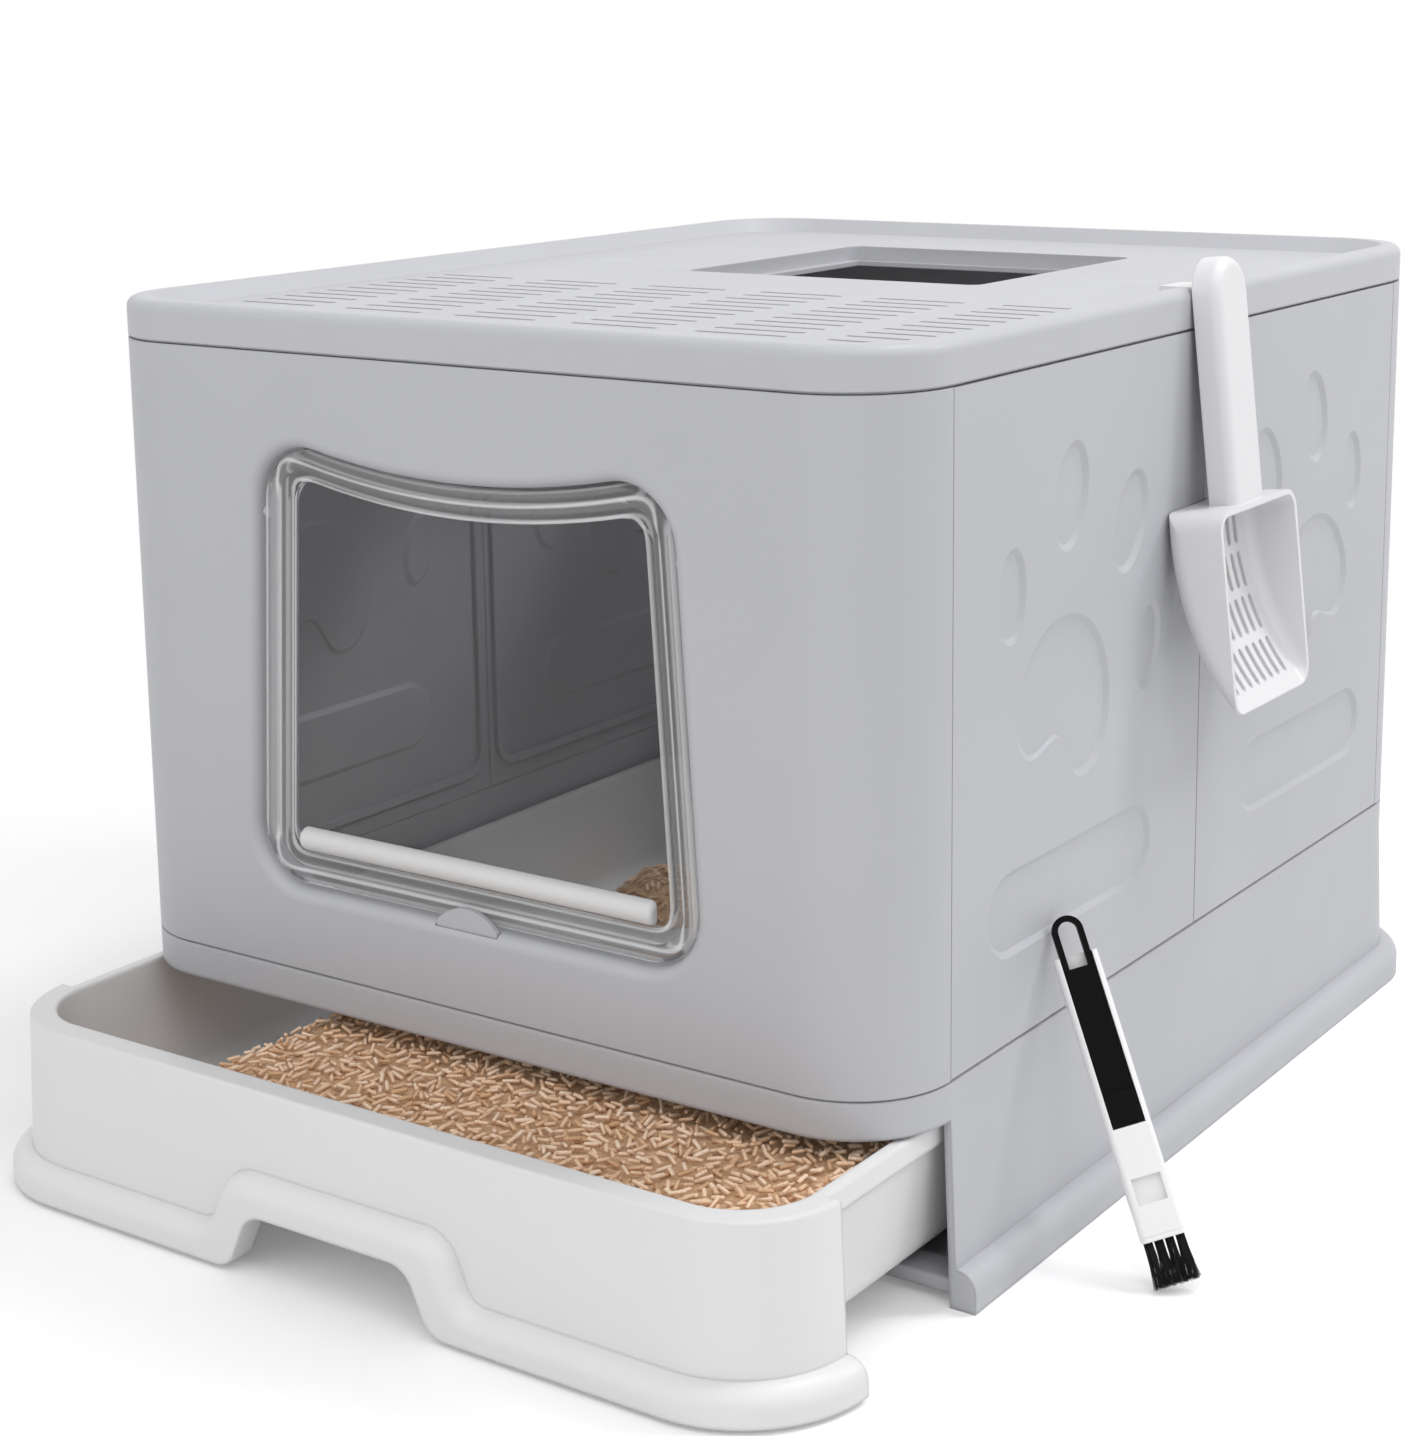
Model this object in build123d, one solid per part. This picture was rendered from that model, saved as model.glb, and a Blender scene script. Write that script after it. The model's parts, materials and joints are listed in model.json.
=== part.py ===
from build123d import *
import math
import os

# Whole box, measured over its walls. -Y is the front, +X the scoop's side, Z is up from the floor.
body_width = 394.0
body_depth = 505.0
corner_radius = 42.0
wall = 3.0
base_height = 90.5
panel_height = 258.0

# Seams and clearances
seam_gap = 0.4
seam_groove_height = 0.8
seam_groove_depth = 1.2
fit_gap = 0.2
pin_clearance = 0.05
overrun = 5.0

# Base
base_flare = 3.0
band_height = 15.5
skirt_out = 8.0
skirt_height = 16.0
floor_lift = 4.0
floor_thickness = 3.0
sill_height = 6.0
sill_depth = 16.0
sill_setback = 3.5
runner_spacing = 260.0
runner_width = 6.0
runner_height = 6.7
foot_radius = 30.0
rib_width = 4.0
tongue_length = 260.0
tongue_thickness = 2.0
tongue_height = 6.0

# Drawer
drawer_out = 76.0
drawer_lift = 2.0
drawer_top_gap = 1.5
drawer_side_gap = 2.5
drawer_rear_gap = 3.0
glide_gap = 0.3
rim_width = 11.0
rim_band_height = 9.5
rim_round = 1.2
tray_wall = 3.0
tray_draft = 6.0
tray_round = 12.0
notch_width = 80.0
notch_foot_width = 102.0
notch_height = 25.0
notch_round = 12.0
notch_foot_round = 11.0
notch_bead_round = 16.0

# Litter in the tray: a flat heap against the front and right walls and a small pile further back
heap_length = 333.0
heap_depth = 220.0
heap_height = 50.5
heap_slope = 62.0
pile_radius = 34.0
pile_height = 22.0
pile_from_side = 54.0
pile_from_rear = 95.0
litter_gap = 0.3

# Corner hinges of the folding sides
knuckle_radius = 3.6
knuckle_gap = 0.4
knuckle_count = 5
hinge_margin = 14.0
hinge_pin_radius = 1.5

# Folding side panels, with a raised frame inside and pressed-in ornaments
fold_gap = 0.7
frame_inset = 9.0
frame_width = 4.0
frame_rise = 2.0
frame_radius = 14.0
press_depth = 1.6
press_slope = 2.6
bar_length = 138.0
bar_height = 34.0
bar_y = 114.0
bar_z = 142.0
paw_tilt = 21.0
pad_width = 76.0
pad_height = 62.0
pad_y = 121.0
pad_z = 219.0
toe_widths = (21.0, 27.0, 27.0, 21.0)
toe_heights = (37.0, 43.0, 43.0, 37.0)
toe_places = ((166.0, 265.0), (119.5, 296.0), (68.0, 278.0), (50.0, 224.0))
toe_tilts = (4.0, 14.0, 24.0, 14.0)
pad_outline_shares = (
    (0.0, 1.0), (0.64, 0.72), (1.0, 0.02), (0.94, -0.7), (0.55, -0.96), (0.0, -0.58),
    (-0.55, -0.96), (-0.94, -0.7), (-1.0, 0.02), (-0.64, 0.72),
)

# Window and its swinging flap
window_bottom_z = 125.0
window_ear_z = 317.0
window_dip_z = 302.5
window_bottom_width = 227.0
window_top_width = 204.0
window_ear_radius = 25.0
window_foot_radius = 25.0
window_round = 5.0
jamb_wall = 2.6
jamb_depth = 17.0
flap_gap = 1.5
flap_setback = 4.2
flap_rim_width = 13.0
flap_rim_depth = 7.0
flap_rim_round = 2.0
flap_step_width = 6.0
flap_step_drop = 1.8
flap_step_round = 1.5
pane_setback = 2.5
pane_thickness = 2.0
pivot_z = 282.0
pivot_radius = 2.5
weight_bar_end_gap = 7.8
weight_bar_radius = 5.0
weight_bar_rise = 1.5

# Lock tab below the flap
tab_width = 31.0
tab_rise = 7.5
tab_stem = 12.0
tab_thickness = 2.2
tab_guide_height = 9.0

# Lid
lid_gap = 0.3
lid_height = 17.0
lid_round = 4.5
lid_plate = 2.6
lid_rim_width = 8.0
lid_rim_slope = 6.0
lid_platform_drop = 6.8
lid_tongue_length = 250.0
lid_tongue_drop = 6.0
hole_width = 158.0
hole_depth = 154.0
hole_radius = 6.0
hole_y = 94.0
hole_flange_drop = 7.0
hole_flange_wall = 2.4
hole_ledge = 5.0
slit_length = 42.0
slit_width = 3.0
slit_pitch_x = 60.0
slit_pitch_y = 13.5
slit_columns = 6
slit_rows = 13
slit_first_y = -213.0

# Scoop hung on the lid's right rim
scoop_y = -2.0
scoop_tilt = 6.5
scoop_gap = 0.5
scoop_wall = 2.4
scoop_handle_width = 30.0
scoop_handle_depth = 12.0
scoop_handle_round = 4.5
scoop_handle_top = 14.0
scoop_hang = 87.0
scoop_bowl_width = 77.0
scoop_bowl_height = 84.0
scoop_bowl_depth = 25.0
scoop_bowl_round = 8.0
scoop_corner_round = 9.0
scoop_lip = 2.0
hook_width = 20.0
hook_plate = 2.4
hook_lip = 2.0
hook_gap = 0.3
scoop_slit_length = 15.0
scoop_slit_width = 3.2
scoop_slit_pitch_y = 7.0
scoop_slit_pitch_z = 18.5
scoop_slit_columns = 8
scoop_slit_rows = 4
bowl_floor_shares = ((0.9, 0.45), (0.5, 0.8))

# Groove brush leaning on the right side
brush_y = -152.0
brush_lean = 27.5
brush_turn = -20.0
brush_spin = -34.0
brush_floor_gap = 0.3
brush_width = 17.5
brush_thickness = 9.0
brush_length = 109.0
brush_round = 2.0
brush_window_width = 11.5
brush_window_height = 10.0
brush_window_depth = 3.0
brush_window_z = 12.0
channel_width = 13.0
channel_depth = 5.0
channel_length = 67.5
shovel_gap = 0.3
shovel_plate = 3.2
shovel_thumb_length = 13.0
loop_height = 15.5
loop_sunk = 5.0
loop_bar = 2.4
bristle_length = 18.0
bristle_backing = 2.0
bristle_side = 0.3
bristle_pitch = 0.42
bristle_splay = 1.1
bristles_across = 9
tuft_count = 4
tuft_pitch = 4.2

# Levels and places that follow from the sizes above
half_width = body_width / 2
half_depth = body_depth / 2
corner_y = half_depth - corner_radius
lid_seam = base_height + panel_height
band_bottom = base_height - band_height
floor_top = floor_lift + floor_thickness
rim_top = band_bottom - drawer_top_gap
tray_bottom = floor_top + runner_height + glide_gap
tray_floor = tray_bottom + tray_wall
tray_side = half_width - rim_width
tray_front = half_depth - rim_width
tray_rear = half_depth - wall - drawer_rear_gap - (rim_width - drawer_side_gap - wall)
drawer_end_y = corner_y + seam_gap
hinge_x = half_width - wall - knuckle_gap - knuckle_radius
hinge_low = base_height + hinge_margin
hinge_high = lid_seam - hinge_margin
lid_bottom = lid_seam + lid_gap
lid_top = lid_bottom + lid_height
platform = lid_top - lid_platform_drop
flap_front = -half_depth + flap_setback
flap_back = flap_front + flap_rim_depth
pane_front = flap_front + pane_setback
pane_back = pane_front + pane_thickness
pivot_y = (pane_front + pane_back) / 2
weight_bar_z = window_bottom_z + flap_gap + flap_rim_width + weight_bar_rise + weight_bar_radius
tab_back = flap_front - seam_gap
tab_front = tab_back - tab_thickness
jamb_back = -half_depth + jamb_depth
hook_level = lid_top - hook_plate
scoop_heel_x = -scoop_hang * math.tan(math.radians(scoop_tilt))
scoop_rim_x = scoop_heel_x + scoop_bowl_depth


def block(x, y, z):
    """Box between three pairs of limits."""
    sizes = [abs(high - low) for low, high in (x, y, z)]
    middles = [(low + high) / 2 for low, high in (x, y, z)]
    return Pos(*middles) * Box(*sizes)


def rounded_block(inset, low, high):
    """Upright block of the box's plan outline, drawn in by inset on every side."""
    plan = RectangleRounded(body_width - 2 * inset, body_depth - 2 * inset, corner_radius - inset)
    return extrude(Pos(0, 0, low) * plan, amount=high - low)


def flared_block(inset, low, high):
    """Block of the plan outline that widens evenly from the band's level down to the floor."""
    def plan(z):
        spread = base_flare * (band_bottom - z) / band_bottom - inset
        outline = RectangleRounded(
            body_width + 2 * spread, body_depth + 2 * spread, corner_radius + spread
        )
        return Pos(0, 0, z) * outline
    return loft([plan(low), plan(high)])


def skirt_block():
    """Thick bead round the base's foot, rounded over on top."""
    block_part = rounded_block(-base_flare - skirt_out, 0, skirt_height)
    return fillet(block_part.edges().group_by(Axis.Z)[-1], skirt_out)


def standing(outline, front, back):
    """Extrude an outline drawn in X and Z from the plane y = front to the plane y = back."""
    return extrude(Plane.XZ.offset(-front) * outline, amount=front - back)


def front_region(y_limit, low, high):
    """Everything in front of a cross plane, between two levels."""
    reach = half_width + base_flare + skirt_out + overrun
    ahead = half_depth + base_flare + skirt_out + overrun
    return block((-reach, reach), (-ahead, y_limit), (low, high))


def seam_groove(low):
    """Thin ring that leaves a shadow line round a seam."""
    high = low + seam_groove_height
    return rounded_block(-overrun, low, high) - rounded_block(seam_groove_depth, low, high)


def make_base():
    """Tray-shaped base, open at the front below a band, with runners for the drawer."""
    shell = skirt_block() + flared_block(0, 0, band_bottom) + rounded_block(0, band_bottom, base_height)
    hollow = flared_block(wall, -overrun, band_bottom)
    hollow += rounded_block(wall, band_bottom, base_height + overrun)
    shell -= hollow
    shell -= front_region(-corner_y, -overrun, band_bottom)
    pan_front = -corner_y + sill_setback
    pan_limits = (-body_width, body_width), (pan_front, body_depth)
    sill_limits = (-body_width, body_width), (pan_front, pan_front + sill_depth)
    pan = flared_block(wall / 2, 0, band_bottom)
    floor = pan & block(*pan_limits, (floor_lift, floor_top))
    sill = pan & block(*sill_limits, (floor_lift, floor_lift + sill_height))
    cross = block((-rib_width / 2, rib_width / 2), (pan_front, half_depth - wall), (0, floor_lift))
    cross += block((-half_width, half_width), (-rib_width / 2, rib_width / 2), (0, floor_lift))
    foot = extrude(Circle(foot_radius), amount=floor_lift)
    base = shell + floor + sill + cross + foot
    runner_top = floor_top + runner_height
    for side in (-1, 1):
        x = side * runner_spacing / 2
        base += block(
            (x - runner_width / 2, x + runner_width / 2),
            (pan_front + sill_depth, half_depth - wall - drawer_rear_gap),
            (floor_lift, runner_top),
        )
    base -= seam_groove(base_height - seam_groove_height)
    for side in (-1, 1):
        inner = side * (half_depth - wall - fit_gap - tongue_thickness)
        tongue = side * (half_depth - wall - fit_gap)
        root = side * (half_depth - wall / 2)
        span = (-tongue_length / 2, tongue_length / 2)
        base += block(span, (inner, root), (base_height - tongue_height, base_height - seam_groove_height))
        base += block(span, (inner, tongue), (base_height - tongue_height, base_height + tongue_height))
    return base


def knuckles(first, toward):
    """Every second barrel of the front right hinge, with the web that carries it on one side in Y."""
    pitch = (hinge_high - hinge_low) / knuckle_count
    barrels = Part()
    for index in range(first, knuckle_count, 2):
        low = hinge_low + index * pitch + seam_gap / 2
        high = low + pitch - seam_gap
        barrels += extrude(Pos(hinge_x, -corner_y, low) * Circle(knuckle_radius), amount=high - low)
        web_near = -corner_y + toward * seam_gap / 2
        web_far = -corner_y + toward * knuckle_radius
        barrels += block((hinge_x, half_width - wall / 2), (web_near, web_far), (low, high))
    return barrels


def hinge_rod(radius, extra):
    """Rod on the front right hinge's axis."""
    place = Pos(hinge_x, -corner_y, hinge_low - extra)
    return extrude(place * Circle(radius), amount=hinge_high - hinge_low + 2 * extra)


def make_end_wall():
    """Plain front wall with two rounded corners and the fixed barrels of both its hinges."""
    ring = rounded_block(0, base_height, lid_seam)
    ring -= rounded_block(wall, base_height - overrun, lid_seam + overrun)
    end = ring & front_region(-corner_y - seam_gap / 2, base_height - overrun, lid_seam + overrun)
    fixed = knuckles(0, -1)
    bore = hinge_rod(hinge_pin_radius + pin_clearance, overrun)
    end = end + fixed + mirror(fixed, about=Plane.YZ)
    return end - bore - mirror(bore, about=Plane.YZ)


def window_outline(inset):
    """Window with two ears and a dipped head, drawn in X and Z and drawn in by inset."""
    half_head = window_top_width / 2
    half_foot = window_bottom_width / 2
    head = ThreePointArc((-half_head, window_ear_z), (0, window_dip_z), (half_head, window_ear_z))
    sides = Polyline(
        (half_head, window_ear_z),
        (half_foot, window_bottom_z),
        (-half_foot, window_bottom_z),
        (-half_head, window_ear_z),
    )
    face = make_face(Curve() + head + sides)
    levels = face.vertices().group_by(Axis.Y)
    face = fillet(levels[-1], window_ear_radius)
    face = fillet(face.vertices().group_by(Axis.Y)[0], window_foot_radius)
    return offset(face, amount=-inset) if inset else face


def window_half_width(z):
    """Half the window's width at one level of its straight sides."""
    share = (z - window_bottom_z) / (window_ear_z - window_bottom_z)
    return (window_bottom_width + (window_top_width - window_bottom_width) * share) / 2


pivot_reach = window_half_width(pivot_z) + jamb_wall


def pivot_rod(radius, reach):
    """Rod across the window on the flap's axis."""
    middle = Pos(0, pivot_y, pivot_z) * Rot(0, 90, 0)
    return middle * Cylinder(radius, 2 * reach)


def make_front_panel():
    """Front wall with a deep window jamb, sockets for the flap and a guide for the lock tab."""
    panel = make_end_wall()
    jamb = standing(window_outline(-jamb_wall), -half_depth + wall / 2, jamb_back)
    guide_x = tab_width / 2 + seam_gap + jamb_wall
    guide_low = window_bottom_z - jamb_wall - tab_guide_height
    guide = block(
        (-guide_x, guide_x),
        (-half_depth + wall / 2, tab_back + seam_gap + jamb_wall),
        (guide_low, window_bottom_z - jamb_wall / 2),
    )
    panel = panel + jamb + guide
    panel -= standing(window_outline(0), -half_depth - overrun, jamb_back + overrun)
    opening = panel.faces().sort_by(Axis.Y)[0].inner_wires()[0]
    panel = fillet(opening.edges(), window_round)
    slot_x = tab_width / 2 + seam_gap
    slot_y = (tab_front - seam_gap, tab_back + seam_gap)
    slot_low = window_bottom_z - tab_stem - tab_rise - seam_gap
    panel -= block((-slot_x, slot_x), slot_y, (slot_low, window_bottom_z + overrun))
    return panel - pivot_rod(pivot_radius + pin_clearance, pivot_reach + overrun)


def make_flap():
    """Clear flap: a thin pane in a thick rounded rim with an inner step, and two stub pivots."""
    outline = window_outline(flap_gap)
    middle = window_outline(flap_gap + flap_rim_width - flap_step_width)
    inner = window_outline(flap_gap + flap_rim_width)
    rim = standing(outline - middle, flap_front, flap_back)
    rim = fillet(rim.faces().sort_by(Axis.Y)[0].edges(), flap_rim_round)
    rim = fillet(rim.faces().sort_by(Axis.Y)[-1].outer_wire().edges(), flap_rim_round)
    step = standing(middle - inner, flap_front + flap_step_drop, flap_back)
    step_front = step.faces().sort_by(Axis.Y)[0]
    rim += fillet(step_front.inner_wires()[0].edges(), flap_step_round)
    pane = standing(window_outline(flap_gap + flap_rim_width / 2), pane_front, pane_back)
    stubs = pivot_rod(pivot_radius, pivot_reach - seam_gap)
    root = window_half_width(pivot_z) - flap_gap - flap_rim_width / 2
    stubs -= block((-root, root), (-body_depth, 0), (0, lid_seam))
    return rim + pane + stubs


def make_weight_bar():
    """Half-round bar along the flap's foot, on the front of its pane."""
    rim_inside = window_half_width(weight_bar_z) - flap_gap - flap_rim_width
    length = 2 * (rim_inside - weight_bar_end_gap)
    bar = Pos(0, pane_front, weight_bar_z) * Rot(0, 90, 0) * Cylinder(weight_bar_radius, length)
    bar -= block((-body_width, body_width), (pane_front, body_depth), (0, lid_seam))
    round_ends = bar.edges().filter_by(GeomType.CIRCLE)
    return fillet(round_ends, weight_bar_radius / 2)


def make_lock_tab():
    """Half-disc tab on a flat stem that slides in the guide below the window."""
    half = tab_width / 2
    top = window_bottom_z + tab_rise
    crown = ThreePointArc((-half, window_bottom_z), (0, top), (half, window_bottom_z))
    stem = Polyline(
        (half, window_bottom_z),
        (half, window_bottom_z - tab_stem),
        (-half, window_bottom_z - tab_stem),
        (-half, window_bottom_z),
    )
    return standing(make_face(Curve() + crown + stem), tab_front, tab_back)


def pressed(outline, narrowed, depth_from, depth_to):
    """Slope-sided form between two depths of the right side panel."""
    top = Plane.YZ.offset(depth_from) * outline
    bottom = Plane.YZ.offset(depth_to) * narrowed
    return loft([top, bottom])


def pad_outline(narrowing):
    """Main pad of the paw ornament."""
    half_w = pad_width / 2 - narrowing
    half_h = pad_height / 2 - narrowing
    points = [(across * half_w, up * half_h) for across, up in pad_outline_shares]
    face = make_face(Spline(points, periodic=True))
    return Pos(-pad_y, pad_z) * Rot(0, 0, -paw_tilt) * face


def ornament_outlines(narrowing):
    """Outlines pressed into one side panel, in Y and Z: a paw and a bar below it."""
    outlines = [Pos(-bar_y, bar_z) * SlotOverall(bar_length - 2 * narrowing, bar_height - 2 * narrowing)]
    outlines.append(pad_outline(narrowing))
    for width, height, place, tilt in zip(toe_widths, toe_heights, toe_places, toe_tilts):
        toe = Ellipse(width / 2 - narrowing, height / 2 - narrowing)
        outlines.append(Pos(-place[0], place[1]) * Rot(0, 0, -tilt) * toe)
    return outlines


def make_side_panel():
    """Front half of the right side: a flat panel that swings inward on the corner hinge."""
    inner_face = half_width - wall
    low = base_height + seam_gap
    high = lid_seam - seam_gap / 2
    near = -corner_y + seam_gap / 2
    far = -fold_gap / 2
    panel = block((inner_face, half_width), (near, far), (low, high))
    frame_y = (near + frame_inset, far - frame_inset / 2)
    frame_z = (low + frame_inset, high - frame_inset)
    centre = Pos(sum(frame_y) / 2, sum(frame_z) / 2)
    length = frame_y[1] - frame_y[0]
    height = frame_z[1] - frame_z[0]
    ring = RectangleRounded(length, height, frame_radius)
    ring -= RectangleRounded(length - 2 * frame_width, height - 2 * frame_width, frame_radius - frame_width)
    panel += extrude(Plane.YZ.offset(inner_face) * (centre * ring), amount=-frame_rise)
    for wide, narrow in zip(ornament_outlines(0), ornament_outlines(press_slope)):
        panel += pressed(wide, narrow, inner_face, inner_face - press_depth)
        panel -= pressed(wide, narrow, half_width, half_width - press_depth)
    panel += knuckles(1, 1)
    return panel - hinge_rod(hinge_pin_radius + pin_clearance, overrun)


def make_lid():
    """Lid with a rounded rim, a sunk platform, litter slits and the entry hole."""
    lid = rounded_block(0, lid_bottom, lid_top)
    lid = fillet(lid.edges().group_by(Axis.Z)[-1], lid_round)
    lid -= rounded_block(wall, lid_bottom - overrun, platform - lid_plate)
    plan_inset = lid_rim_width + lid_rim_slope

    def pocket_plan(inset, z):
        plan = RectangleRounded(body_width - 2 * inset, body_depth - 2 * inset, corner_radius - inset / 2)
        return Pos(0, 0, z) * plan
    lid -= loft([pocket_plan(plan_inset, platform), pocket_plan(lid_rim_width, lid_top)])
    hole = Pos(0, hole_y) * RectangleRounded(hole_width, hole_depth, hole_radius)
    collar_low = platform - lid_plate - hole_flange_drop
    lid += extrude(Pos(0, 0, collar_low) * offset(hole, hole_flange_wall), amount=platform - collar_low)
    lid -= extrude(Pos(0, 0, collar_low + hole_flange_wall) * hole, amount=lid_height + overrun)
    throat = offset(hole, -hole_ledge)
    lid -= extrude(Pos(0, 0, collar_low - overrun) * throat, amount=lid_height + overrun)
    slit_mid_y = slit_first_y + slit_pitch_y * (slit_rows - 1) / 2
    slits = Sketch()
    for place in GridLocations(slit_pitch_x, slit_pitch_y, slit_columns, slit_rows):
        slits += Pos(0, slit_mid_y) * place * SlotOverall(slit_length, slit_width)
    lid -= extrude(Pos(0, 0, platform - lid_plate - overrun) * slits, amount=lid_plate + 2 * overrun)
    for side in (-1, 1):
        outer = side * (half_depth - wall - seam_gap)
        inner = side * (half_depth - wall - seam_gap - tongue_thickness)
        span = (-lid_tongue_length / 2, lid_tongue_length / 2)
        lid += block(span, (inner, outer), (lid_bottom - lid_tongue_drop, platform - lid_plate / 2))
    lid -= seam_groove(lid_bottom)
    return lid - scoop_notch()


def scoop_notch():
    """Cut across the lid's right rim that takes the scoop's hook."""
    half = hook_width / 2 + seam_gap
    inner = half_width - lid_rim_width - lid_rim_slope
    return block(
        (inner, half_width + overrun),
        (scoop_y - half, scoop_y + half),
        (lid_top - hook_plate - hook_gap, lid_top + overrun),
    )


def notch_outline(spread, head_round):
    """Hand notch with swept corners, drawn in X and Z and spread outward for the bead that runs over it."""
    low = drawer_lift + spread
    high = low + notch_height
    half_head = notch_width / 2 + spread
    half_foot = notch_foot_width / 2 + spread
    reach = half_foot + notch_height
    outline = make_face(Polyline(
        (-reach, low), (-half_foot, low), (-half_head, high), (half_head, high), (half_foot, low),
        (reach, low), (reach, -overrun), (-reach, -overrun), close=True,
    ))
    feet = outline.vertices().group_by(Axis.Y)[1].sort_by(Axis.X)[1:3]
    outline = fillet(feet, notch_foot_round)
    return fillet(outline.vertices().group_by(Axis.Y)[-1], head_round)


def apron_bead():
    """Bead round the apron's foot that also runs over the hand notch, rounded over on top."""
    front = half_depth + base_flare + skirt_out
    arch = standing(notch_outline(skirt_height - drawer_lift, notch_bead_round), -front, -half_depth)
    bead = rounded_block(-base_flare - skirt_out, drawer_lift, skirt_height)
    bead += arch & front_region(-half_depth, drawer_lift, rim_top)
    crest = [
        edge for edge in bead.edges()
        if edge.center().Z > skirt_height - seam_gap
        and (abs(edge.center().Y) > front - seam_gap or abs(edge.center().X) > half_width - corner_radius)
    ]
    return fillet(crest, skirt_out)


def tray_form(spread, low, high, bottom_round):
    """Drafted, round-bottomed inside of the tray, spread outward for its outside."""
    side = tray_side + spread
    front = tray_front + spread
    rear = tray_rear + spread
    middle_y = (rear - front) / 2

    def plan(z):
        drawn_in = tray_draft * (rim_top - z) / (rim_top - tray_floor)
        radius = corner_radius - rim_width + spread - drawn_in / 2
        outline = RectangleRounded(2 * (side - drawn_in), front + rear - 2 * drawn_in, radius)
        return Pos(0, middle_y, z) * outline
    form = loft([plan(low), plan(high)])
    return fillet(form.edges().group_by(Axis.Z)[0], bottom_round)


def make_drawer():
    """Pull-out tray with a tall front apron, drawn at its closed place and then pulled out."""
    inside = tray_form(0, tray_floor, rim_top + overrun, tray_round - tray_wall)
    body = tray_form(tray_wall, tray_bottom, rim_top, tray_round)
    rim_side = half_width - wall - drawer_side_gap
    rim_rear = half_depth - wall - drawer_rear_gap
    rim_front = half_depth - wall / 2
    rim_plan = RectangleRounded(2 * rim_side, rim_front + rim_rear, corner_radius - drawer_side_gap)
    band_place = Pos(0, (rim_rear - rim_front) / 2, rim_top - rim_band_height)
    band = extrude(band_place * rim_plan, amount=rim_band_height)
    apron = apron_bead() + flared_block(0, drawer_lift, rim_top)
    apron -= flared_block(wall, -overrun, rim_top - wall)
    apron &= front_region(-drawer_end_y, drawer_lift, rim_top)
    notch = notch_outline(0, notch_round)
    apron -= standing(notch, -half_depth - base_flare - skirt_out - overrun, -half_depth + wall)
    drawer = body + band + apron - inside
    top_edges = drawer.faces().sort_by(Axis.Z)[-1].edges()
    drawer = fillet(top_edges, rim_round)
    return Pos(0, -drawer_out, 0) * drawer


def litter_space():
    """Inside of the tray that litter can fill."""
    return tray_form(-litter_gap, tray_floor + litter_gap, rim_top, tray_round - tray_wall)


def make_heap():
    """Flat heap of litter against the tray's front and right walls, sloping off on its free sides."""
    low = tray_floor + litter_gap
    high = low + heap_height
    left = tray_side - heap_length
    right = tray_side + overrun
    rear = heap_depth - tray_front
    front = -tray_front - overrun
    across = Polyline(
        (left, low), (left + heap_slope, high), (right, high), (right, low), close=True
    )
    along = Polyline(
        (rear, low), (rear - heap_slope, high), (front, high), (front, low), close=True
    )
    heap = standing(make_face(across), front, rear)
    heap &= extrude(Plane.YZ.offset(left) * make_face(along), amount=right - left)
    return Pos(0, -drawer_out, 0) * (heap & litter_space())


def make_pile():
    """Small low dome of litter on the tray's floor."""
    ball_radius = (pile_radius ** 2 + pile_height ** 2) / (2 * pile_height)
    centre_z = tray_floor + litter_gap + pile_height - ball_radius
    place = Pos(pile_from_side - tray_side, tray_rear - pile_from_rear, centre_z)
    return Pos(0, -drawer_out, 0) * (place * Sphere(ball_radius) & litter_space())


def bowl_profile(inset, open_by):
    """Side view of the scoop's bowl in X and Z, drawn in by inset and run out past its rim."""
    points = [(scoop_heel_x + inset, -inset)]
    for depth_share, down_share in bowl_floor_shares:
        x = scoop_rim_x - depth_share * scoop_bowl_depth + inset
        points.append((x, -down_share * scoop_bowl_height))
    points.append((scoop_rim_x - scoop_lip + inset, -scoop_bowl_height))
    mouth = scoop_rim_x + open_by
    rim = Polyline(points[-1], (mouth, -scoop_bowl_height), (mouth, -inset), points[0])
    return make_face(Curve() + Spline(*points) + rim)


def bowl_form(inset, open_by):
    """Round-cornered block of the bowl's profile, drawn in by inset."""
    half = scoop_bowl_width / 2 - inset
    form = standing(bowl_profile(inset, open_by), -half, half)
    back_edges = [edge for edge in form.edges() if edge.geom_type == GeomType.BSPLINE]
    form = fillet(back_edges, scoop_bowl_round - inset)
    height = scoop_bowl_height - inset
    mouth = RectangleRounded(2 * half, height, scoop_corner_round - inset)
    face = Plane.YZ.offset(scoop_heel_x - overrun) * (Pos(0, height / 2 - scoop_bowl_height) * mouth)
    return form & extrude(face, amount=scoop_bowl_depth + 3 * overrun)


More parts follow.
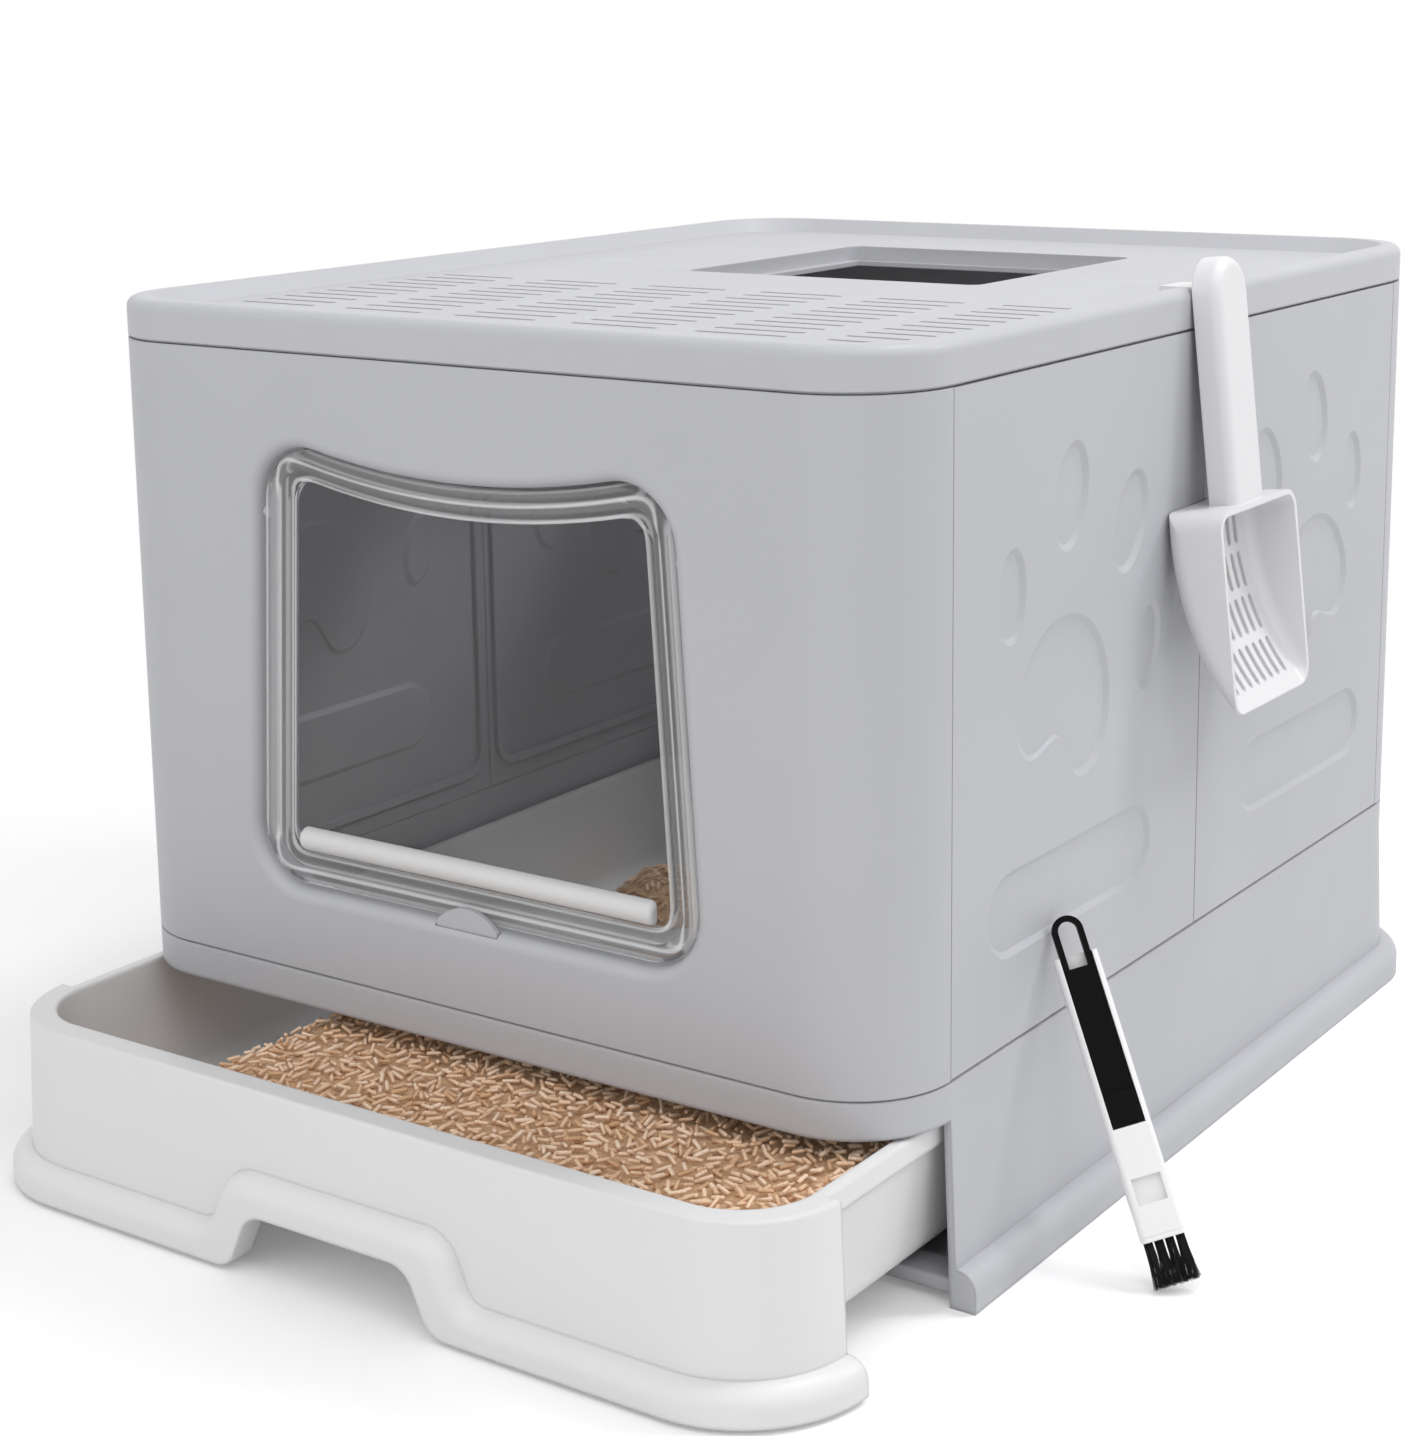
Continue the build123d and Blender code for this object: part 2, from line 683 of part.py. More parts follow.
def make_scoop():
    """Slotted scoop with a channel handle and a hook over the lid's rim."""
    bowl = bowl_form(0, 0)
    hollow = bowl_form(scoop_wall, overrun)
    slits = Sketch()
    slit = SlotOverall(scoop_slit_length, scoop_slit_width, rotation=90)
    for place in GridLocations(scoop_slit_pitch_y, scoop_slit_pitch_z, scoop_slit_columns, scoop_slit_rows):
        slits += Pos(0, -scoop_bowl_height / 2) * place * slit
    slot_cut = extrude(Plane.YZ.offset(scoop_rim_x) * slits, amount=-scoop_bowl_depth - overrun)
    bowl = bowl - hollow - slot_cut
    half_handle = scoop_handle_width / 2
    straight = scoop_hang + scoop_handle_top - half_handle
    outline = Pos(0, straight / 2) * Rectangle(scoop_handle_width, straight)
    outline += Pos(0, straight) * Circle(half_handle)
    bar = extrude(Plane.YZ * outline, amount=scoop_handle_depth)
    front_edges = bar.faces().sort_by(Axis.X)[-1].edges().sort_by(Axis.Z)[1:]
    bar = fillet(front_edges, scoop_handle_round)
    bar -= extrude(Plane.YZ * offset(outline, -scoop_wall), amount=scoop_handle_depth - scoop_wall)
    hung = Pos(half_width + scoop_gap, scoop_y, hook_level) * Rot(0, -scoop_tilt, 0)
    scoop = hung * Pos(0, 0, -scoop_hang) * (bowl + bar)
    hook_inner = half_width - lid_rim_width - lid_rim_slope - hook_gap - hook_lip
    hook_outer = half_width + scoop_gap + scoop_handle_depth - scoop_wall / 2
    hook_y = (scoop_y - hook_width / 2, scoop_y + hook_width / 2)
    scoop += block((hook_inner, hook_outer), hook_y, (hook_level, hook_level + hook_plate))
    scoop += block((hook_inner, hook_inner + hook_lip), hook_y, (platform + hook_gap, hook_level + hook_plate))
    return scoop


def make_brush_handle():
    """White brush handle with a channel for the shovel and a shallow window near its head."""
    low = bristle_length + bristle_backing
    high = low + brush_length
    front = brush_thickness / 2
    plan = Pos(0, 0, low) * RectangleRounded(brush_thickness, brush_width, brush_round)
    handle = extrude(plan, amount=brush_length)
    handle -= block(
        (front - channel_depth, front + overrun),
        (-channel_width / 2, channel_width / 2),
        (high - channel_length, high + overrun),
    )
    handle -= block(
        (front - brush_window_depth, front + overrun),
        (-brush_window_width / 2, brush_window_width / 2),
        (low + brush_window_z, low + brush_window_z + brush_window_height),
    )
    return handle


def make_shovel():
    """Small black dust shovel that clips into the handle's channel, with a hanging loop."""
    back = brush_thickness / 2 - channel_depth + shovel_gap
    high = bristle_length + bristle_backing + brush_length
    low = high - channel_length + shovel_gap
    half = channel_width / 2 - shovel_gap
    loop_centre = high + loop_height - half

    def round_topped(half_wide, foot):
        outline = Pos(0, (foot + loop_centre) / 2) * Rectangle(2 * half_wide, loop_centre - foot)
        return outline + Pos(0, loop_centre) * Circle(half_wide)
    outline = round_topped(half, low) - round_topped(half - loop_bar, high - loop_sunk)
    shovel = extrude(Plane.YZ.offset(back) * outline, amount=shovel_plate)
    return shovel + block((back, brush_thickness / 2), (-half, half), (low, low + shovel_thumb_length))


def make_bristles():
    """Square tufts of strands, rooted in the slice of backing that closes the brush's head."""
    plan = RectangleRounded(brush_thickness, brush_width, brush_round)
    backing = extrude(Pos(0, 0, bristle_length) * plan, amount=bristle_backing)
    section = Rectangle(bristle_side, bristle_side).face()
    steps = [bristle_pitch * (index - (bristles_across - 1) / 2) for index in range(bristles_across)]
    strands = []
    for tuft in range(tuft_count):
        centre = tuft_pitch * (tuft - (tuft_count - 1) / 2)
        for x in steps:
            for y in steps:
                root = Vector(x, centre + y, bristle_length + bristle_backing / 2)
                tip = Vector(x * bristle_splay, centre + y * bristle_splay, 0)
                strands.append(Solid.extrude(Pos(root) * section, tip - root))
    return backing.fuse(*strands)


def brush_stance():
    """Turn that leans the brush back on the wall, with its face towards the front."""
    return Rot(0, 0, brush_turn) * Rot(0, -brush_lean, 0) * Rot(0, 0, brush_spin)


def lean_brush(pieces):
    """Stand the brush's pieces on the floor, leaning back on the right side of the box."""
    turned = [brush_stance() * piece for piece in pieces]
    boxes = [piece.bounding_box() for piece in turned]
    to_wall = half_width + seam_gap - min(box.min.X for box in boxes)
    to_floor = brush_floor_gap - min(box.min.Z for box in boxes)
    return [Pos(to_wall, brush_y, to_floor) * piece for piece in turned]


def all_nodes():
    """Every piece of the box by name."""
    rear_wall = mirror(make_end_wall(), about=Plane.XZ)
    right_front = make_side_panel()
    right_rear = mirror(right_front, about=Plane.XZ)
    pin = hinge_rod(hinge_pin_radius, 0)
    rear_pin = mirror(pin, about=Plane.XZ)
    handle, shovel, bristles = lean_brush([make_brush_handle(), make_shovel(), make_bristles()])
    return {
        "base": make_base(),
        "front_panel": make_front_panel(),
        "rear_panel": rear_wall,
        "side_panel_right_front": right_front,
        "side_panel_right_rear": right_rear,
        "side_panel_left_front": mirror(right_front, about=Plane.YZ),
        "side_panel_left_rear": mirror(right_rear, about=Plane.YZ),
        "hinge_pin_right_front": pin,
        "hinge_pin_right_rear": rear_pin,
        "hinge_pin_left_front": mirror(pin, about=Plane.YZ),
        "hinge_pin_left_rear": mirror(rear_pin, about=Plane.YZ),
        "lid": make_lid(),
        "drawer_tray": make_drawer(),
        "litter_heap": make_heap(),
        "litter_pile": make_pile(),
        "door_flap": make_flap(),
        "door_weight_bar": make_weight_bar(),
        "door_lock_tab": make_lock_tab(),
        "scoop": make_scoop(),
        "brush_handle": handle,
        "brush_bristles": bristles,
        "dust_shovel": shovel,
    }


os.makedirs("parts", exist_ok=True)
for node_name, solid in all_nodes().items():
    export_step(solid, f"parts/{node_name}.step")
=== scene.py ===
import json
import math
from collections import namedtuple

import bmesh
import bpy
import numpy as np
from mathutils import Matrix, Vector
from mathutils.bvhtree import BVHTree


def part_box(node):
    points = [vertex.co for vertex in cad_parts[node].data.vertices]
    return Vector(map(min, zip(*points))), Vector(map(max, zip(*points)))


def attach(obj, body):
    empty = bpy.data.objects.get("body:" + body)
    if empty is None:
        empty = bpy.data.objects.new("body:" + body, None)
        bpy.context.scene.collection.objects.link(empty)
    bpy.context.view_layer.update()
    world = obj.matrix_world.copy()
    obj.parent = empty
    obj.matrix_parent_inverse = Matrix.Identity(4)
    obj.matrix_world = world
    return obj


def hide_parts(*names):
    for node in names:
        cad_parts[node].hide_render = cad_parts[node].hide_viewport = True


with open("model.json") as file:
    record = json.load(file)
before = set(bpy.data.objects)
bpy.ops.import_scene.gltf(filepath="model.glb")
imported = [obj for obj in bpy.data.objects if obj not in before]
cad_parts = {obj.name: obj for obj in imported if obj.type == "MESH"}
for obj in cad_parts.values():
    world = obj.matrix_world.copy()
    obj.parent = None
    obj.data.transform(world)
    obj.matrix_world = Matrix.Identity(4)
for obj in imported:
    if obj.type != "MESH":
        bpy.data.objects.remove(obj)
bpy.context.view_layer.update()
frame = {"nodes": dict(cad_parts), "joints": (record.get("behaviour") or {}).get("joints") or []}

MM = 0.001
NODES = frame["nodes"]
RNG = np.random.default_rng(20)

# Photograph's frame and the camera fitted to it
IMAGE_HEIGHT_PX = 1436
FOCAL_PX = 2684.0
PRINCIPAL_ROW_PX = 560.0
CAMERA_PLACE = Vector((0.6600, -1.0251, 0.4764))
CAMERA_YAW = math.radians(35.06)
CAMERA_PITCH = math.radians(11.41)
CAMERA_ROLL = math.radians(-0.81)
CAMERA_REACH = 50.0
SENSOR = 36.0

# Colours, linear
BODY_GREY = (0.470, 0.475, 0.500)
LID_GREY = (0.484, 0.488, 0.512)
PIN_GREY = (0.40, 0.405, 0.43)
DRAWER_WHITE = (0.735, 0.735, 0.735)
SCOOP_WHITE = (0.72, 0.72, 0.73)
BAR_WHITE = (0.66, 0.66, 0.66)
BRUSH_WHITE = (0.83, 0.83, 0.83)
BRUSH_BLACK = (0.005, 0.005, 0.0055)
BRISTLE_BLACK = (0.009, 0.0085, 0.009)
CLEAR_TINT = (0.95, 0.955, 0.96)
PELLET_TONES = ((0.64, 0.39, 0.22), (0.80, 0.55, 0.36), (0.87, 0.64, 0.46), (0.90, 0.71, 0.54))
# Bed under the pellets: tones darker than the pellets', as painted shade of the gaps over the crumbs' own
# colour
BED_CRUMB_AND_SHADE_TONES = ((0.46, 0.28, 0.155), (0.70, 0.47, 0.29))
FLOOR_TONE = (0.86, 0.86, 0.86)
WORLD_WHITE = (1.0, 1.0, 1.0)
WORLD_TINT = (0.99, 0.99, 1.0)

# Floor: half its side, its speckle, its glow, and the reach over which it fades to white
FLOOR_HALF = 12.0
SPECKLE_SCALE = 60.0
SPECKLE_SHARES = (0.995, 1.005)
FLOOR_GLOW = 0.16
FLOOR_FADE = (0.42, 0.80)

# Lamps: place, target, size in metres and watts of each, and the strength of the surroundings
WORLD_LIGHT = 0.62
SOFTBOXES = {
    "key_softbox": ((1.5, 1.2, 1.7), (0.1, 0.0, 0.2), 0.5, 11.0),
    "top_softbox": ((0.6, 0.45, 2.1), (0.0, 0.1, 0.2), 0.4, 11.0),
    "right_softbox": ((1.7, -0.9, 1.9), (0.0, 0.0, 0.2), 1.6, 10.0),
    "front_softbox": ((0.2, -1.3, 1.9), (0.0, -0.2, 0.2), 1.6, 8.0),
    "low_softbox": ((-0.7, -2.3, 0.9), (0.0, -0.2, 0.2), 1.6, 5.5),
}

# Stretch of a noise that is mapped to gloss or tone
NOISE_SPAN = (0.3, 0.7)

# Moulded plastic: noises per metre, edge wear and grain
DRIFT_SCALE = 5.0
DRIFT_PLACES = (0.30, 0.52, 0.72)
SMEAR_SCALE = 26.0
SMEAR_GLOSS = (-0.04, 0.05)
SPARK_SCALE = 1500.0
SPARK_DEPTH = 0.3 * MM
BEVEL_SAMPLES = 4
WEAR_TURNS = (0.98, 0.70)
WEAR_SHARE = 0.35
WEAR_LIGHTER = 1.10
PLASTIC_IOR = 1.46
WALL_ROUNDING = 0.7 * MM
SOFT_ROUNDING = 2.4 * MM
SCOOP_ROUNDING = 0.9 * MM
BRUSH_ROUNDING = 0.5 * MM
SHOVEL_ROUNDING = 0.4 * MM
PIN_ROUNDING = 0.3 * MM

# Clear plastic: scratches, tone drift and flow waves
SCRATCH_SCALE = 90.0
SCRATCH_STRETCH = (1.0, 1.0, 0.25)
SCRATCH_SPAN = (0.35, 0.75)
SCRATCH_GLOSS = (0.015, 0.075)
CLEAR_DRIFT_SCALE = 9.0
CLEAR_DRIFT_SHARES = (0.985, 1.015)
WAVE_SCALE = 22.0
WAVE_DEPTH = 1.0 * MM
CLEAR_IOR = 1.18

# Rim of the clear flap, from its box: width, taper of its sides, dip and bow of its head, corners and coat
RIM_WIDTH = 13.0 * MM
RIM_TAPER = 0.06
RIM_DIP = 8.0 * MM
RIM_BOW = 1.39
RIM_CORNER = 16.0 * MM
RIM_COAT = 0.35
RIM_COAT_SPAN = (0.0, 0.1)
RIM_COAT_ROUGHNESS = 0.06

# Painted highlight and shade bands across the rim, from the pane to its edge: place and share of painted
# highlight (a milky share on the front faces that the lamps light up), place and share of painted shade
RIM_PAINTED_HIGHLIGHT_SHARES = (
    (0.00, 0.00), (0.02, 0.40), (0.08, 0.40), (0.13, 0.06), (0.24, 0.07), (0.31, 0.16), (0.46, 0.14),
    (0.51, 0.44), (0.57, 0.44), (0.63, 0.08), (0.73, 0.08), (0.80, 0.18), (0.90, 0.16), (0.95, 0.42),
)
RIM_PAINTED_SHADE_SHARES = (
    (0.00, 1.00), (0.08, 1.00), (0.14, 0.60), (0.44, 0.64), (0.51, 1.00), (0.57, 1.00), (0.63, 0.58),
    (0.88, 0.64), (0.95, 1.00),
)

# Pellets: sizes, how they settle on the bed, and their finish
PELLET_RADII = (0.70 * MM, 0.92 * MM)
PELLET_LENGTHS = (4.4 * MM, 7.4 * MM)
PELLET_TILT = 0.30
PELLET_OVER = 1.2 * MM
PELLET_TRIES = 10
PELLET_SAMPLES = 9
PELLET_SIDES = 6
PELLET_END_SHARE = 0.66
PELLET_CENTRE_SHARE = 0.85
PELLET_TOP_SHARE = 1.75
PELLET_BEND_SHARES = (-0.25, 0.25)
PELLET_CHOP_SHARES = (0.25, 0.6)
PELLET_TONE_PLACES = (0.0, 0.3, 0.65, 1.0)
FIBRE_SCALE = 1400.0
FIBRE_MOTTLE = (0.82, 1.12)
FIBRE_DEPTH = 0.15 * MM
GRID_STEP = 0.8 * MM
EDGE_CELLS = 2
FAR_ABOVE = 1.0
HEAP_PELLETS = 24000
PILE_PELLETS = 1400

# Bed of crumbs under the pellets, coloured darker than them as painted shade of the gaps between the
# pellets
BED_DROP = 3.0 * MM
BED_SHRINK_SHARE = 0.99
WELD_DISTANCE = 0.01 * MM
CRUMB_SCALE = 420.0
CRUMB_PLACES = (0.35, 0.65)
CRUMB_DEPTH = 1.0 * MM

# Bristles, and the slice of the brush's head that they are set in
TUFTS = 4
TUFT_STRANDS = 150
TUFT_PITCH = 4.2 * MM
TUFT_RADIUS = 1.75 * MM
STRAND_RADIUS = 0.13 * MM
STRAND_TAPER_SHARE = 0.45
STRAND_RINGS = 6
STRAND_SIDES = 4
STRAND_LEAN_MM = 0.35
STRAND_SPLAYS = (0.15, 1.05)
STRAND_REACH_SHARES = (0.93, 1.0)
STRAND_TONE_SHARES = (0.6, 2.2)
STREAK_SCALE = 900.0
STREAK_GLOSS = (0.36, 0.52)
FLOOR_CLEAR = 0.2 * MM
BACKING_DEPTH = 2.0 * MM
BACKING_ROUND = 2.0 * MM
BACKING_EDGE = 0.35 * MM
BACKING_FOOT_SHARE = 0.9

# Least cosine of two directions that run alike, and greatest of two that stand square
ALIKE = 0.9
SQUARE = 0.05

BrushHead = namedtuple("BrushHead", "out across along centre half_out half_across level")


def set_surface(tree, surface):
    """Let a material show a shader."""
    output = next(node for node in tree.nodes if node.type == "OUTPUT_MATERIAL")
    tree.links.new(surface, output.inputs["Surface"])


def new_material(name):
    """Empty node material with its output and a Principled shader."""
    material = bpy.data.materials.new(name)
    material.use_nodes = True
    tree = material.node_tree
    tree.nodes.clear()
    tree.nodes.new("ShaderNodeOutputMaterial")
    shader = tree.nodes.new("ShaderNodeBsdfPrincipled")
    set_surface(tree, shader.outputs["BSDF"])
    return material, tree, shader


def object_noise(tree, scale, detail=2.0, roughness=0.5, stretch=None):
    """Noise in the object's own metres."""
    place = tree.nodes.new("ShaderNodeTexCoord")
    noise = tree.nodes.new("ShaderNodeTexNoise")
    noise.inputs["Scale"].default_value = scale
    noise.inputs["Detail"].default_value = detail
    noise.inputs["Roughness"].default_value = roughness
    vector = place.outputs["Object"]
    if stretch is not None:
        mapping = tree.nodes.new("ShaderNodeMapping")
        mapping.inputs["Scale"].default_value = stretch
        tree.links.new(vector, mapping.inputs["Vector"])
        vector = mapping.outputs["Vector"]
    tree.links.new(vector, noise.inputs["Vector"])
    return noise.outputs["Fac"]


def ramp(tree, factor, places, colours):
    """Colour ramp over a factor, with a colour at each place."""
    node = tree.nodes.new("ShaderNodeValToRGB")
    elements = node.color_ramp.elements
    while len(elements) < len(places):
        elements.new(0.5)
    for element, place, colour in zip(elements, places, colours):
        element.position = place
        element.color = (*colour, 1.0)
    tree.links.new(factor, node.inputs["Fac"])
    return node.outputs["Color"]


def grey_ramp(tree, factor, stops):
    """Ramp of greys over a factor: stops are (place, share)."""
    places, shares = zip(*stops)
    return ramp(tree, factor, places, [(share, share, share) for share in shares])


def map_range(tree, value, span, to, interpolation="LINEAR"):
    """Value mapped from one span to another, clamped."""
    node = tree.nodes.new("ShaderNodeMapRange")
    node.interpolation_type = interpolation
    sockets = ("From Min", "From Max", "To Min", "To Max")
    for socket, number in zip(sockets, (*span, *to)):
        node.inputs[socket].default_value = number
    tree.links.new(value, node.inputs["Value"])
    return node.outputs["Result"]


def maths(tree, operation, *values):
    """Math node over numbers and other nodes' outputs."""
    node = tree.nodes.new("ShaderNodeMath")
    node.operation = operation
    for socket, value in zip(node.inputs, values):
        if isinstance(value, (int, float)):
            socket.default_value = value
        else:
            tree.links.new(value, socket)
    return node.outputs["Value"]


def vector_maths(tree, operation, *values):
    """Vector math node over other nodes' outputs."""
    node = tree.nodes.new("ShaderNodeVectorMath")
    node.operation = operation
    for socket, value in zip(node.inputs, values):
        tree.links.new(value, socket)
    return node.outputs["Value" if operation in ("DOT_PRODUCT", "LENGTH") else "Vector"]


def mix_shaders(tree, factor, first, second):
    """Two shaders mixed by a factor: 0 is the first, 1 the second."""
    node = tree.nodes.new("ShaderNodeMixShader")
    tree.links.new(factor, node.inputs["Fac"])
    tree.links.new(first, node.inputs[1])
    tree.links.new(second, node.inputs[2])
    return node.outputs["Shader"]


def add_relief(tree, shader, height, strength, depth, normal=None):
    """Fine relief on a shader, over a normal of its own if one is given."""
    bump = tree.nodes.new("ShaderNodeBump")
    bump.inputs["Strength"].default_value = strength
    bump.inputs["Distance"].default_value = depth
    tree.links.new(height, bump.inputs["Height"])
    if normal is not None:
        tree.links.new(normal, bump.inputs["Normal"])
    tree.links.new(bump.outputs["Normal"], shader.inputs["Normal"])


def shade(colour, factor):
    """Colour made lighter or darker by a factor."""
    return tuple(min(1.0, channel * factor) for channel in colour)


def moulded_plastic(name, colour, roughness, grain=0.05, rounding=WALL_ROUNDING, spread=0.025, shine=0.5):
    """Injection-moulded plastic: fine spark grain, soft tone drift, rounded and slightly worn edges."""
    material, tree, shader = new_material(name)
    drift = object_noise(tree, DRIFT_SCALE, detail=3.0)
    tones = (shade(colour, 1.0 - spread), colour, shade(colour, 1.0 + spread))
    tone = ramp(tree, drift, DRIFT_PLACES, tones)
    bevel = tree.nodes.new("ShaderNodeBevel")
    bevel.samples = BEVEL_SAMPLES
    bevel.inputs["Radius"].default_value = rounding
    geometry = tree.nodes.new("ShaderNodeNewGeometry")
    turn = vector_maths(tree, "DOT_PRODUCT", bevel.outputs["Normal"], geometry.outputs["Normal"])
    worn = tree.nodes.new("ShaderNodeMix")
    worn.data_type = "RGBA"
    worn.inputs["B"].default_value = (*shade(colour, WEAR_LIGHTER), 1.0)
    tree.links.new(map_range(tree, turn, WEAR_TURNS, (0.0, WEAR_SHARE)), worn.inputs["Factor"])
    tree.links.new(tone, worn.inputs["A"])
    tree.links.new(worn.outputs["Result"], shader.inputs["Base Color"])
    smears = object_noise(tree, SMEAR_SCALE, detail=4.0, roughness=0.6)
    gloss = map_range(tree, smears, NOISE_SPAN, [roughness + change for change in SMEAR_GLOSS])
    tree.links.new(gloss, shader.inputs["Roughness"])
    spark = object_noise(tree, SPARK_SCALE, roughness=0.6)
    add_relief(tree, shader, spark, grain, SPARK_DEPTH, bevel.outputs["Normal"])
    shader.inputs["IOR"].default_value = PLASTIC_IOR
    shader.inputs["Specular IOR Level"].default_value = shine
    return material


def rim_depth(tree):
    """Share of the way from the flap's pane out to its edge: 0 on the pane, 1 at the edge."""
    low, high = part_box("door_flap")
    place = tree.nodes.new("ShaderNodeTexCoord")
    parts = tree.nodes.new("ShaderNodeSeparateXYZ")
    tree.links.new(place.outputs["Object"], parts.inputs["Vector"])
    x, z = parts.outputs["X"], parts.outputs["Z"]
    rise = maths(tree, "SUBTRACT", z, low.z)
    breadth = maths(tree, "MULTIPLY_ADD", rise, RIM_TAPER, maths(tree, "ABSOLUTE", x))
    side = maths(tree, "SUBTRACT", breadth, high.x - RIM_WIDTH)
    foot = maths(tree, "SUBTRACT", low.z + RIM_WIDTH, z)
    bow = maths(tree, "MULTIPLY", maths(tree, "MULTIPLY", x, x), -RIM_BOW)
    head = maths(tree, "ADD", maths(tree, "SUBTRACT", z, high.z - RIM_DIP - RIM_WIDTH), bow)
    lower = maths(tree, "SMOOTH_MAX", side, foot, RIM_CORNER)
    nearest = maths(tree, "SMOOTH_MAX", lower, head, RIM_CORNER)
    return map_range(tree, nearest, (0.0, RIM_WIDTH), (0.0, 1.0))


def front_side(tree):
    """1 on faces that look to the front of their object, 0 on the others."""
    place = tree.nodes.new("ShaderNodeTexCoord")
    parts = tree.nodes.new("ShaderNodeSeparateXYZ")
    tree.links.new(place.outputs["Normal"], parts.inputs["Vector"])
    return maths(tree, "LESS_THAN", parts.outputs["Y"], 0.0)


def clear_plastic(name, tint):
    """Clear moulded plastic: a rim banded with painted highlights and painted shade, faint flow waves and
    a light haze of fine scratches.
    """
    material, tree, shader = new_material(name)
    depth = rim_depth(tree)
    # Painted highlight lines across the rim: a milky share laid by bands on the front faces only
    painted_highlights = maths(tree, "MULTIPLY", grey_ramp(tree, depth, RIM_PAINTED_HIGHLIGHT_SHARES), front_side(tree))
    tree.links.new(maths(tree, "SUBTRACT", 1.0, painted_highlights), shader.inputs["Transmission Weight"])
    tree.links.new(map_range(tree, depth, RIM_COAT_SPAN, (0.0, RIM_COAT)), shader.inputs["Coat Weight"])
    shader.inputs["Coat Roughness"].default_value = RIM_COAT_ROUGHNESS
    scratches = object_noise(tree, SCRATCH_SCALE, detail=4.0, roughness=0.6, stretch=SCRATCH_STRETCH)
    tree.links.new(map_range(tree, scratches, SCRATCH_SPAN, SCRATCH_GLOSS), shader.inputs["Roughness"])
    drift = object_noise(tree, CLEAR_DRIFT_SCALE)
    tone = ramp(tree, drift, NOISE_SPAN, [shade(tint, share) for share in CLEAR_DRIFT_SHARES])
    # Painted shade: bands across the rim that darken its colour between the painted highlights
    painted_shade = grey_ramp(tree, depth, RIM_PAINTED_SHADE_SHARES)
    tree.links.new(vector_maths(tree, "MULTIPLY", tone, painted_shade), shader.inputs["Base Color"])
    waves = object_noise(tree, WAVE_SCALE, detail=1.0)
    add_relief(tree, shader, waves, strength=0.06, depth=WAVE_DEPTH)
    shader.inputs["IOR"].default_value = CLEAR_IOR
    film = tree.nodes.new("ShaderNodeBsdfTransparent")
    film.inputs["Color"].default_value = (*tint, 1.0)
    path = tree.nodes.new("ShaderNodeLightPath")
    light = maths(tree, "MAXIMUM", path.outputs["Is Shadow Ray"], path.outputs["Is Diffuse Ray"])
    set_surface(tree, mix_shaders(tree, light, shader.outputs["BSDF"], film.outputs["BSDF"]))
    return material


def pellet_material(name, tones):
    """Dry pressed pellets: a tone of its own for each pellet, with a fibrous mottle."""
    material, tree, shader = new_material(name)
    geometry = tree.nodes.new("ShaderNodeNewGeometry")
    tone = ramp(tree, geometry.outputs["Random Per Island"], PELLET_TONE_PLACES, tones)
    fibres = object_noise(tree, FIBRE_SCALE, detail=3.0, roughness=0.65)
    mottle = map_range(tree, fibres, NOISE_SPAN, FIBRE_MOTTLE)
    tree.links.new(vector_maths(tree, "MULTIPLY", tone, mottle), shader.inputs["Base Color"])
    add_relief(tree, shader, fibres, strength=0.35, depth=FIBRE_DEPTH)
    shader.inputs["Roughness"].default_value = 0.85
    shader.inputs["Specular IOR Level"].default_value = 0.25
    return material


def dust_and_shade_material(name, tones):
    """Crumbled litter between the pellets, darker than them: the crumbs' own colour with painted shade of
    the gaps.
    """
    material, tree, shader = new_material(name)
    crumbs = object_noise(tree, CRUMB_SCALE, detail=4.0, roughness=0.7)
    tree.links.new(ramp(tree, crumbs, CRUMB_PLACES, tones), shader.inputs["Base Color"])
    add_relief(tree, shader, crumbs, strength=0.6, depth=CRUMB_DEPTH)
    shader.inputs["Roughness"].default_value = 0.92
    return material


def strand_material(name, colour):
    """Dark nylon strands, each with its own tone and a soft sheen."""
    material, tree, shader = new_material(name)
    geometry = tree.nodes.new("ShaderNodeNewGeometry")
    tones = [shade(colour, share) for share in STRAND_TONE_SHARES]
    tone = ramp(tree, geometry.outputs["Random Per Island"], (0.0, 1.0), tones)
    tree.links.new(tone, shader.inputs["Base Color"])
    streaks = object_noise(tree, STREAK_SCALE)
    tree.links.new(map_range(tree, streaks, NOISE_SPAN, STREAK_GLOSS), shader.inputs["Roughness"])
    shader.inputs["Specular IOR Level"].default_value = 0.15
    return material


def background_rays(tree):
    """1 for rays that show the background: straight, in gloss or through clear plastic."""
    path = tree.nodes.new("ShaderNodeLightPath")
    outside = maths(tree, "MAXIMUM", path.outputs["Is Camera Ray"], path.outputs["Is Glossy Ray"])
    return maths(tree, "MAXIMUM", outside, path.outputs["Is Transmission Ray"])


def floor_material(name, tone):
    """Pale studio floor that keeps a soft shadow and runs into a white background."""
    material, tree, shader = new_material(name)
    speckle = object_noise(tree, SPECKLE_SCALE, detail=3.0)
    tones = ramp(tree, speckle, NOISE_SPAN, [shade(tone, share) for share in SPECKLE_SHARES])
    tree.links.new(tones, shader.inputs["Base Color"])
    shader.inputs["Roughness"].default_value = 0.9
    shader.inputs["Specular IOR Level"].default_value = 0.1
    glow = tree.nodes.new("ShaderNodeEmission")
    glow.inputs["Strength"].default_value = FLOOR_GLOW
    near = tree.nodes.new("ShaderNodeAddShader")
    tree.links.new(shader.outputs["BSDF"], near.inputs[0])
    tree.links.new(glow.outputs["Emission"], near.inputs[1])
    far = tree.nodes.new("ShaderNodeEmission")
    far.inputs["Strength"].default_value = 1.0
    place = tree.nodes.new("ShaderNodeTexCoord")
    reach = vector_maths(tree, "LENGTH", place.outputs["Object"])
    fade = map_range(tree, reach, FLOOR_FADE, (0.0, 1.0), "SMOOTHSTEP")
    shown = mix_shaders(tree, fade, near.outputs["Shader"], far.outputs["Emission"])
    set_surface(tree, mix_shaders(tree, background_rays(tree), shader.outputs["BSDF"], shown))
    return material


